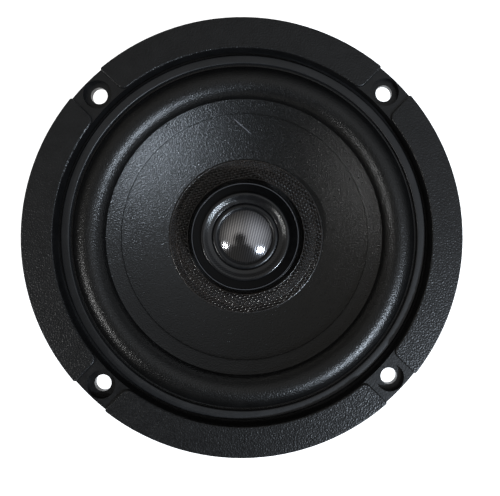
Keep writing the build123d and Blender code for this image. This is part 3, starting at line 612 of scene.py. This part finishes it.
# %% Cone shape
former_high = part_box("voice_coil_former")[1] / MM
COLLAR = 1.0
neck = np.array([former_high.x + GLUE + CONE_WALL / 2, cone_low.z + COLLAR + CONE_WALL / 2])
flare = tangent_arc(cone_break, cone_break - cone_edge, neck)
cone_line = join(line(cone_edge, cone_break, 10), flare, line(neck, neck - (0, COLLAR), 6))
turned("cone_shell", wall(cone_line, CONE_WALL), moulded_cone(), "cone", "cone", steps=288)


def cone_height(radius):
    """Height of the cone's centre line at a radius, read between the points above its collar."""
    above_collar = cone_line[::-1][6:]
    return np.interp(radius, above_collar[:, 0], above_collar[:, 1])


print("cone at 30 mm radius is", round(float(cone_height(30.0)), 2), "mm from the panel")

# %% [markdown]
# ## Woven seal ring
# A ring of coarse black cloth closes the gap between the cone and the tweeter. Its threads run
# straight, not round, because it is cut and pressed from flat cloth. The threads are built as real
# tubes that pass over and under each other, and a thin backing under them stops the light. Each
# thread is a tube on a long grid, and only the stretch that lies on the ring is kept.

# %% Seal profile
seal_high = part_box("dust_seal_ring")[1] / MM
SEAL_WALL = 0.6
BAND_WIDTH = 2.7
SKIRT_WIDTH = 4.9
SKIRT_RISE = 1.0
seal_outer = seal_high.x - SEAL_WALL / 2
seal_fold = seal_outer - BAND_WIDTH
seal_inner = seal_fold - SKIRT_WIDTH
band_lift = (CONE_WALL + SEAL_WALL) / 2 + 0.1
fold_z = float(cone_height(seal_fold)) + band_lift


def seal_height(radius):
    """Height of the cloth: it follows the cone on the glued band, then rises from the fold as part
    of a sine wave and sinks a little again toward the tweeter."""
    inward = np.clip((seal_fold - radius) / (seal_fold - seal_inner), 0, 1)
    skirt = fold_z + SKIRT_RISE * np.sin(inward * 0.8 * np.pi)
    return np.where(radius > seal_fold, cone_height(radius) + band_lift, skirt)


# %% Cloth finish
def coated_thread(name, dark, light, roughness):
    """Glossy black coating on fibres, brown where it is thin."""
    made, tree, shader = finish_base(name, dark, roughness, Specular_IOR_Level=0.9)
    two_colours(tree, shader, noise(tree, 2.2, 4), dark, light, 0.35, 0.75)
    bumped(tree, shader, noise(tree, 0.12, 3), 0.02)
    tree.links.new(mapped(tree, noise(tree, 1.0), 0.3, 0.7, roughness - 0.1, roughness + 0.12),
                   shader.inputs["Roughness"])
    return made


SEAL_THREAD = coated_thread("coated_seal_thread", (0.006, 0.0042, 0.0034), (0.026, 0.019, 0.015), 0.26)
SEAL_BACK = coated_thread("seal_backing", (0.003, 0.0025, 0.0022), (0.005, 0.004, 0.0035), 0.75)

# %% Seal backing
back_radii = np.linspace(seal_outer, seal_inner, 40)
BACKING_WALL = 0.3
BACKING_DROP = 0.12
backing_line = np.stack([back_radii, seal_height(back_radii) - BACKING_DROP], 1)
turned("seal_backing", wall(backing_line, BACKING_WALL), SEAL_BACK, "cone", "dust_seal_ring")

# %% Seal threads
THREAD_PITCH = 1.0
THREAD_R = 0.27
THREAD_RISE = 0.2
THREAD_BED = 0.12        # how far the middle of the threads stands over the cloth's centre line
THREAD_SIDES = 6
CLOTH_TURN = np.radians(12)


def thread_tubes(direction):
    """Parallel tubes: along each, the height is the cloth's plus a cosine that goes over and under
    the crossing threads, half a wave out of step with the neighbours on each side."""
    half = int(seal_outer / THREAD_PITCH)
    offsets = (np.arange(-half, half + 1) + 0.5) * THREAD_PITCH
    along = np.arange(-half * 5, half * 5 + 1) * THREAD_PITCH / 5
    u, v = np.meshgrid(offsets, along, indexing="ij")
    step = np.round(u / THREAD_PITCH - 0.5).astype(int)
    lift = THREAD_RISE * np.cos(np.pi * (v / THREAD_PITCH - 0.5) + np.pi * (step + direction))
    x, y = (u, v) if direction else (v, u)
    x, y = x * np.cos(CLOTH_TURN) - y * np.sin(CLOTH_TURN), x * np.sin(CLOTH_TURN) + y * np.cos(CLOTH_TURN)
    radius = np.hypot(x, y)
    on_ring = (radius > seal_inner + THREAD_R) & (radius < seal_outer - THREAD_R / 2)
    inside = on_ring.copy()
    inside[:, 1:-1] = on_ring[:, 1:-1] & on_ring[:, 2:] & on_ring[:, :-2]
    thickness = np.where(inside, THREAD_R, 0.0)
    turn = np.linspace(0, 2 * np.pi, THREAD_SIDES, endpoint=False)
    sideways = np.array([-np.sin(CLOTH_TURN), np.cos(CLOTH_TURN)])
    if direction:
        sideways = np.array([np.cos(CLOTH_TURN), np.sin(CLOTH_TURN)])
    px = x[..., None] + sideways[0] * thickness[..., None] * np.cos(turn)
    py = y[..., None] + sideways[1] * thickness[..., None] * np.cos(turn)
    pz = (seal_height(radius) + THREAD_BED + lift)[..., None] + thickness[..., None] * np.sin(turn)
    points = np.stack([px, py, pz], -1).reshape(-1, 3)
    index = np.arange(points.shape[0]).reshape(len(offsets), len(along), THREAD_SIDES)
    both = (on_ring[:, 1:] & on_ring[:, :-1])[..., None]
    keep = np.broadcast_to(both, index[:, 1:].shape)
    quads = [index[:, :-1], index[:, 1:], np.roll(index, -1, 2)[:, 1:], np.roll(index, -1, 2)[:, :-1]]
    return points, np.stack([part[keep] for part in quads], -1)


def without_spares(points, faces):
    """Drops the points that no face uses."""
    used, renumbered = np.unique(faces, return_inverse=True)
    return points[used], renumbered.reshape(faces.shape)


first_points, first_faces = thread_tubes(0)
second_points, second_faces = thread_tubes(1)
all_points = np.concatenate([first_points, second_points])
all_faces = np.concatenate([first_faces, second_faces + len(first_points)])
make_piece("seal_threads", *without_spares(all_points, all_faces), SEAL_THREAD, "cone")

# %% [markdown]
# Three round cords finish the cloth: one hem at each edge, and one where the skirt folds up from the
# glued band. Each is a circle carried round the axis.

# %% Seal hems
HEM_R = 0.28
HEM_BED = 0.16
HEMS = {
    "seal_inner_hem": seal_inner + HEM_R,
    "seal_fold_cord": seal_fold,
    "seal_outer_hem": seal_outer - HEM_R,
}
around = np.linspace(0, 2 * np.pi, 12, endpoint=False)
hem_circle = HEM_R * np.stack([np.cos(around), np.sin(around)], 1)
for name, radius in HEMS.items():
    middle = (radius, float(seal_height(np.array(radius))) + HEM_BED)
    turned(name, np.array(middle) + hem_circle, SEAL_THREAD, "cone", steps=240)

# %% [markdown]
# ## Tweeter
# The tweeter sits in a black cup whose disc edge hides the gap to the cone. Inside it a rounded
# ring with a fine woven relief clamps the edge of the dome's narrow roll. The dome itself is silk
# with a thin silver coating, so the weave still shows through a gloss.


# %% Tweeter finishes
def satin_plastic(name, colour, roughness, grain=0.4, depth=0.01, level=0.5):
    """Smooth moulding with a faint grain. level is how strongly it mirrors, 0.5 for plain plastic."""
    made, tree, shader = finish_base(name, colour, roughness, Specular_IOR_Level=level)
    bumped(tree, shader, noise(tree, grain, 4), depth)
    pale = [value * 1.5 for value in colour]
    two_colours(tree, shader, noise(tree, 5.0, 4), colour, pale, 0.4, 0.8)
    tree.links.new(mapped(tree, noise(tree, 2.0), 0.3, 0.7, roughness - 0.05, roughness + 0.07),
                   shader.inputs["Roughness"])
    return made


def silver_silk():
    """Silver coating over a fine rib: bright threads about 0.92 mm apart that lean off the Y axis
    and spread a little toward +Y, with a fainter crossing thread every 0.55 mm. The colour follows
    the rib's height: the raised threads are painted lighter as a painted highlight, and the hollows
    darker as painted shade."""
    made, tree, shader = finish_base("silver_coated_silk", (0.42, 0.42, 0.44), 0.11, Metallic=1.0)
    turned_place = add(tree, "ShaderNodeMapping", Vector=place(tree), Rotation=(0, 0, np.radians(13)))
    apart = add(tree, "ShaderNodeSeparateXYZ", Vector=turned_place.outputs["Vector"]).outputs
    spread = maths(tree, "SUBTRACT", 1.0, maths(tree, "MULTIPLY", apart["Y"], 8.0))
    fan = maths(tree, "MULTIPLY", apart["X"], spread)
    warp = maths(tree, "SINE", maths(tree, "MULTIPLY", fan, 2 * np.pi / (0.92 * MM)))
    weft = maths(tree, "SINE", maths(tree, "MULTIPLY", apart["Y"], 2 * np.pi / (0.55 * MM)))
    weft_share = 0.45
    cloth = maths(tree, "ADD", warp, maths(tree, "MULTIPLY", weft, weft_share))
    level = mapped(tree, cloth, -1 - weft_share, 1 + weft_share, 0, 1)
    bumped(tree, shader, level, 0.02)
    # painted highlight and shade: the colour is lighter on the raised threads and darker in the hollows
    two_colours(tree, shader, level, (0.26, 0.26, 0.28), (0.52, 0.52, 0.54), 0.25, 0.75)
    return made


HOUSING_BLACK = satin_plastic("housing_satin_black", (0.002, 0.002, 0.0022), 0.2, level=0.13)
FACE_BLACK = satin_plastic("face_gloss_black", (0.006, 0.006, 0.0065), 0.19, 0.25, 0.02, 0.7)
ROLL_BLACK = satin_plastic("coated_roll_black", (0.005, 0.005, 0.0055), 0.3, 0.2, 0.02)

# %% Tweeter housing
housing_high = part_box("tweeter_housing")[1] / MM
BEAD_MIDDLE = housing_high.x - 0.6
# painted highlight: a light grey line painted round the rim bead stands in for the bright reflection along
# the disc's edge
RIM_BASE_BLACK, PAINTED_RIM_HIGHLIGHT = (0.002, 0.002, 0.0022), (0.08, 0.08, 0.085)
rim_tree = HOUSING_BLACK.node_tree
off_line = maths(rim_tree, "ABSOLUTE", maths(rim_tree, "SUBTRACT", radius_of(rim_tree), BEAD_MIDDLE * MM))
on_line = clamp_step(rim_tree, off_line, 0.20 * MM, 0.06 * MM)
two_colours(rim_tree, rim_tree.nodes["Principled BSDF"], on_line, RIM_BASE_BLACK, PAINTED_RIM_HIGHLIGHT, 0.0, 1.0)
smooth_cad("tweeter_housing", HOUSING_BLACK)
print("the painted_highlight line runs at radius", round(BEAD_MIDDLE, 2), "mm")

# %% Face ring
face_low, face_high = (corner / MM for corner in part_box("tweeter_face_ring"))
FACE_WIDTH = 4.2
face_inner = face_high.x - FACE_WIDTH
CREST_WIDTH = 1.3
KNEE_WIDTH, KNEE_DROP, INNER_DROP = 1.4, 0.85, 1.15
face_corners = [
    (face_inner, face_low.z),
    (face_high.x, face_low.z),
    (face_high.x, face_high.z),
    (face_high.x - CREST_WIDTH, face_high.z),
    (face_inner + KNEE_WIDTH, face_high.z - KNEE_DROP),
    (face_inner, face_high.z - INNER_DROP),
]
face_profile = even(rounded(face_corners, (0, 0, 0.8, 1.6, 1.2, 0.15), 16), 0.1)
BEADS = 84
ROW_PITCH = 1.05
BEAD_HEIGHT = 0.035


def woven_relief(grid):
    """Raises the inner slope by a fine pattern: a sine round the axis times a sine of the radius,
    like small beads in rows. It fades out before the crest and before the inner edge."""
    angle = np.arctan2(grid[..., 1], grid[..., 0])
    radius = np.hypot(grid[..., 0], grid[..., 1])
    inside = np.clip((radius - face_inner - 0.1) / 0.3, 0, 1)
    inside = inside * np.clip((face_high.x - 0.9 - radius) / 0.3, 0, 1)
    upper = np.clip((grid[..., 2] - face_low.z - 0.4) / 0.1, 0, 1)
    beads = np.sin(angle * BEADS) * np.sin(2 * np.pi * radius / ROW_PITCH) * inside * upper
    return grid + np.stack([0 * beads, 0 * beads, BEAD_HEIGHT * beads], -1)


turned("face_ring", face_profile, FACE_BLACK, "frame", "tweeter_face_ring", steps=720, relief=woven_relief)

# %% Tweeter roll
roll_low, roll_high = (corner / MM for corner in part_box("tweeter_surround"))
dome_low, dome_high = (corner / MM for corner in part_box("tweeter_dome"))
SILK = 0.3
roll_z = roll_low.z + SILK / 2
dome_edge = dome_high.x
clamped_r = dome_edge + 2.6
glued_r = dome_edge + 0.25
tweeter_roll_line = join(
    line((roll_high.x - SILK / 2, roll_z), (clamped_r, roll_z), 5),
    crown((clamped_r, roll_z), (glued_r, roll_z), roll_high.z - SILK / 2 - roll_z, 28),
    line((glued_r, roll_z), (dome_edge + 0.1, roll_z), 3),
)
roll_outline = wall(tweeter_roll_line, SILK)
tweeter_roll = turned("tweeter_roll", roll_outline, ROLL_BLACK, None, "tweeter_surround", steps=240)
bends_between(tweeter_roll)

# %% Dome
rise = dome_high.z - dome_low.z
ball_r = (dome_edge**2 + rise**2) / (2 * rise)
edge_angle = np.arcsin(dome_edge / ball_r)
lean = np.linspace(0, edge_angle, 72)
ball_centre = dome_high.z - ball_r
outer_cap = np.stack([ball_r * np.sin(lean), ball_centre + ball_r * np.cos(lean)], 1)
inner_cap = np.stack([(ball_r - SILK) * np.sin(lean), ball_centre + (ball_r - SILK) * np.cos(lean)], 1)
inner_cap[:, 1] = np.maximum(inner_cap[:, 1], dome_low.z)
dome_profile = np.concatenate([outer_cap, inner_cap[::-1]])
turned("dome_cap", dome_profile, silver_silk(), "tweeter_dome", "tweeter_dome", steps=240, closed=False)

# %% [markdown]
# ## Spider, coil and leads
# The spider is cotton cloth dipped in resin and pressed into waves, so it keeps its shape: it is a
# pressing and not a draped sheet. Its profile is a row of half waves. The braided leads lie on it,
# and each is a lobed tube that twists along its length.


# %% Cloth, film and wire finishes
def woven_cloth(name, dark, light, pitch, depth):
    """Dull stiff cloth: a plain weave with patches where the resin is darker."""
    made, tree, shader = finish_base(name, light, 0.8, Sheen_Weight=0.15)
    level = weave(tree, pitch)
    bumped(tree, shader, level, depth)
    patches = maths(tree, "MULTIPLY", noise(tree, 5.0, 4), 0.4)
    mixed = maths(tree, "ADD", maths(tree, "MULTIPLY", level, 0.6), patches)
    two_colours(tree, shader, mixed, dark, light, 0.3, 0.7)
    return made


def wound_wire(name, colour, pitch):
    """Enamelled wire wound in rings: a fine wave along the axis, with tone changes between turns."""
    made, tree, shader = finish_base(name, colour, 0.28, Metallic=0.85, Coat_Weight=0.5)
    height = add(tree, "ShaderNodeSeparateXYZ", Vector=place(tree)).outputs["Z"]
    wires = maths(tree, "SINE", maths(tree, "MULTIPLY", height, 2 * np.pi / (pitch * MM)))
    bumped(tree, shader, mapped(tree, wires, -1, 1, 0, 1), pitch * 0.3)
    two_colours(tree, shader, noise(tree, 1.5), [value * 0.6 for value in colour], colour)
    return made


def film(name, colour):
    """Clear-coated plastic film with a slow change of tone."""
    made, tree, shader = finish_base(name, colour, 0.25, Coat_Weight=0.3)
    two_colours(tree, shader, noise(tree, 4.0, 3), [value * 0.7 for value in colour], colour)
    bumped(tree, shader, noise(tree, 1.0, 2), 0.01)
    return made


SPIDER_CLOTH = woven_cloth("resin_dipped_cotton", (0.38, 0.25, 0.09), (0.62, 0.45, 0.19), 0.5, 0.06)
COPPER_WIRE = wound_wire("enamelled_copper", (0.55, 0.22, 0.09), 0.28)

# %% Spider
spider_low, spider_high = (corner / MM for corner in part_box("spider"))
CLOTH_WALL = 0.5
HALF_PITCH = 2.2
HALF_WAVES = 10
WAVES_START = 21.0
WAVES_END = WAVES_START + HALF_WAVES * HALF_PITCH
spider_middle = (spider_low.z + spider_high.z) / 2
wave_height = (spider_high.z - spider_low.z - CLOTH_WALL) / 2
wave_r = np.linspace(WAVES_START, WAVES_END, 160)
waves = wave_height * np.sin(np.pi * (wave_r - WAVES_START) / HALF_PITCH)
spider_line = join(
    line((former_high.x + GLUE + CLOTH_WALL / 2, spider_middle), (WAVES_START, spider_middle), 5),
    np.stack([wave_r, spider_middle + waves], 1),
    line((WAVES_END, spider_middle), (spider_high.x - CLOTH_WALL / 2, spider_middle), 6),
)
spider = turned("spider_cloth", wall(spider_line, CLOTH_WALL), SPIDER_CLOTH, None, "spider", steps=240)
bends_between(spider)

# %% [markdown]
# The coil's former is a tube of amber film and its winding is enamelled copper wire. Their plain
# shapes are already right, so they keep them.

# %% Voice coil
smooth_cad("voice_coil_former", film("amber_film", (0.55, 0.27, 0.05)))
smooth_cad("voice_coil_winding", COPPER_WIRE)
print("the former is", round(former_high.x * 2, 1), "mm across")

# %% Braided leads
TERMINAL_TURN = np.radians(-45)
LEAD_SPREAD = 8.0
LEAD_R = 0.5
lead_low, lead_high = (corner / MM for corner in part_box("tinsel_leads"))
lead_z = (lead_low.z + lead_high.z) / 2
LEAD_START, LEAD_END = 18.3, 61.8     # distances from the axis, along the lead
LEAD_STATIONS = 420
LEAD_SIDES = 24


def braided_lead(side):
    """Tube along X whose radius swells and shrinks with a sine of six lobes that twists along it,
    and shrinks to nothing at both ends."""
    x = np.linspace(LEAD_START, LEAD_END, LEAD_STATIONS)[:, None]
    turn = np.linspace(0, 2 * np.pi, LEAD_SIDES, endpoint=False)[None, :]
    lobes = 0.5 * np.abs(np.sin(3 * turn + x * 2.4)) + 0.5 * np.abs(np.sin(3 * turn - x * 2.4))
    radius = LEAD_R * (0.82 + 0.18 * lobes)
    radius[[0, -1]] = 0
    across = side * LEAD_SPREAD + radius * np.cos(turn)
    height = lead_z + radius * np.sin(turn)
    along = np.broadcast_to(x, across.shape)
    points = np.stack([along * np.cos(TERMINAL_TURN) - across * np.sin(TERMINAL_TURN),
                       along * np.sin(TERMINAL_TURN) + across * np.cos(TERMINAL_TURN), height], -1)
    return points.reshape(-1, 3), grid_faces(LEAD_STATIONS, LEAD_SIDES, wrap_rows=False)


def bare_metal(name, colour, roughness, grain=0.3, depth=0.01, stretch=None):
    """Bare or plated metal: fine unevenness, darker in patches, with slightly uneven gloss."""
    made, tree, shader = finish_base(name, colour, roughness, Metallic=1.0)
    bumped(tree, shader, noise(tree, grain, 4, stretch(tree) if stretch else None), depth)
    two_colours(tree, shader, noise(tree, 4.0, 5), [value * 0.72 for value in colour], colour, 0.3, 0.65)
    tree.links.new(mapped(tree, noise(tree, 1.6, 4), 0.3, 0.7, roughness - 0.07, roughness + 0.12),
                   shader.inputs["Roughness"])
    return made


COPPER_BRAID = bare_metal("copper_braid", (0.72, 0.40, 0.24), 0.38, 0.1)
near_points, near_faces = braided_lead(-1)
far_points, far_faces = braided_lead(1)
lead_points = np.concatenate([near_points, far_points])
lead_faces = np.concatenate([near_faces, far_faces + len(near_points)])
leads = make_piece("braided_leads", lead_points, lead_faces, COPPER_BRAID, None, "tinsel_leads")
bends_between(leads)

# %% [markdown]
# ## Magnet, plates and stem
# The steel plates are turned on a lathe and zinc plated, which leaves fine rings round the axis. The
# rings come from noise read along the radius only. The magnet is ground ferrite: dark grey, dense
# and dull, with tiny chips along its edges.


# %% Metal and ferrite finishes
def lathe_rings(tree):
    """Coordinates in which only the distance from the axis and the height matter, so that noise
    becomes rings."""
    height = add(tree, "ShaderNodeSeparateXYZ", Vector=place(tree)).outputs["Z"]
    made = add(tree, "ShaderNodeCombineXYZ", X=radius_of(tree), Y=height)
    return made.outputs["Vector"]


def ferrite():
    """Dull dark grey, with grit and small rounded chips."""
    made, tree, shader = finish_base("ground_ferrite", (0.055, 0.055, 0.06), 0.5, Specular_IOR_Level=0.6)
    grit = maths(tree, "ADD", noise(tree, 0.4, 5), cells(tree, 1.4))
    bumped(tree, shader, grit, 0.04)
    two_colours(tree, shader, noise(tree, 3.0, 6), (0.035, 0.035, 0.038), (0.075, 0.075, 0.08))
    tree.links.new(mapped(tree, noise(tree, 6.0), 0.3, 0.7, 0.4, 0.62), shader.inputs["Roughness"])
    return made


ZINC_TURNED = bare_metal("turned_zinc_plate", (0.56, 0.56, 0.57), 0.34, 0.25, 0.02, lathe_rings)
ZINC_PLAIN = bare_metal("zinc_plated_steel", (0.58, 0.58, 0.60), 0.32)
ALUMINIUM = bare_metal("turned_aluminium", (0.74, 0.74, 0.75), 0.3, 0.25, 0.02, lathe_rings)
NICKEL = bare_metal("nickel_plate", (0.66, 0.64, 0.60), 0.16)
TINNED_BRASS = bare_metal("tinned_brass", (0.74, 0.66, 0.46), 0.28)
BRASS = bare_metal("rivet_brass", (0.70, 0.55, 0.28), 0.3)
TIN = bare_metal("tinned_copper", (0.70, 0.69, 0.67), 0.3)

# %% Metal pieces keep their shape
METALS = {
    "top_plate": ZINC_TURNED,
    "yoke": ZINC_TURNED,
    "chassis_screws": ZINC_PLAIN,
    "tweeter_stem": ALUMINIUM,
    "tweeter_stem_nut": ZINC_PLAIN,
    "tweeter_cup": ZINC_TURNED,
    "tweeter_magnet": NICKEL,
    "tweeter_top_plate": ZINC_TURNED,
    "tweeter_coil_former": ALUMINIUM,
    "terminal_tab_positive": TINNED_BRASS,
    "terminal_tab_negative": TINNED_BRASS,
    "terminal_rivets": BRASS,
    "capacitor_leads": TIN,
}
for name, finish in METALS.items():
    smooth_cad(name, finish)
smooth_cad("magnet_ring", ferrite())
smooth_cad("tweeter_coil_winding", COPPER_WIRE)
print("metal pieces", len(METALS))

# %% [markdown]
# ## Board, capacitor and wires
# The terminal board is brown laminated paper, with its fibres showing as long faint streaks. The
# capacitor has a shrunk dark blue jacket, and the wires have smooth black insulation.


# %% Board, jacket and wire finishes
def laminated_board():
    """Brown board whose fibres are noise stretched about eight times."""
    made, tree, shader = finish_base("laminated_board", (0.20, 0.10, 0.05), 0.5)
    streaked = add(tree, "ShaderNodeMapping", Vector=place(tree), Rotation=(0, 0, TERMINAL_TURN),
                   Scale=(1, 0.12, 1))
    fibres = noise(tree, 0.8, 5, streaked.outputs["Vector"])
    two_colours(tree, shader, fibres, (0.12, 0.055, 0.025), (0.26, 0.14, 0.07))
    bumped(tree, shader, fibres, 0.02)
    return made


def pressed_felt():
    """Pale matted fibres: rough noise in both colour and relief."""
    made, tree, shader = finish_base("pressed_felt", (0.6, 0.58, 0.54), 0.95, Sheen_Weight=0.3)
    fibres = noise(tree, 0.35, 6, rough=0.75)
    two_colours(tree, shader, fibres, (0.42, 0.40, 0.37), (0.70, 0.68, 0.64))
    bumped(tree, shader, fibres, 0.12)
    return made


smooth_cad("terminal_board", laminated_board())
smooth_cad("crossover_capacitor", satin_plastic("blue_shrunk_jacket", (0.012, 0.02, 0.07), 0.3, 1.2, 0.03))
smooth_cad("tweeter_leads", satin_plastic("wire_insulation", (0.012, 0.012, 0.012), 0.36, 0.8, 0.015))
smooth_cad("lead_sleeve", satin_plastic("shrunk_sleeve", (0.015, 0.015, 0.016), 0.42, 0.5, 0.03))
smooth_cad("tweeter_mounting_ring", satin_plastic("moulded_black", (0.014, 0.014, 0.014), 0.45))
smooth_cad("tweeter_felt_pad", pressed_felt())

# %% [markdown]
# The looks must not change the size. How much the box of the finished pieces has grown over the box
# of the model as loaded is printed, in millimetres.

# %% Print the growth and finish
VISUAL_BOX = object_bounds()
cad_sides, visual_sides = CAD_BOX[1] - CAD_BOX[0], VISUAL_BOX[1] - VISUAL_BOX[0]
print("grown by", [round((after - before) / MM, 2) for before, after in zip(cad_sides, visual_sides)], "mm")
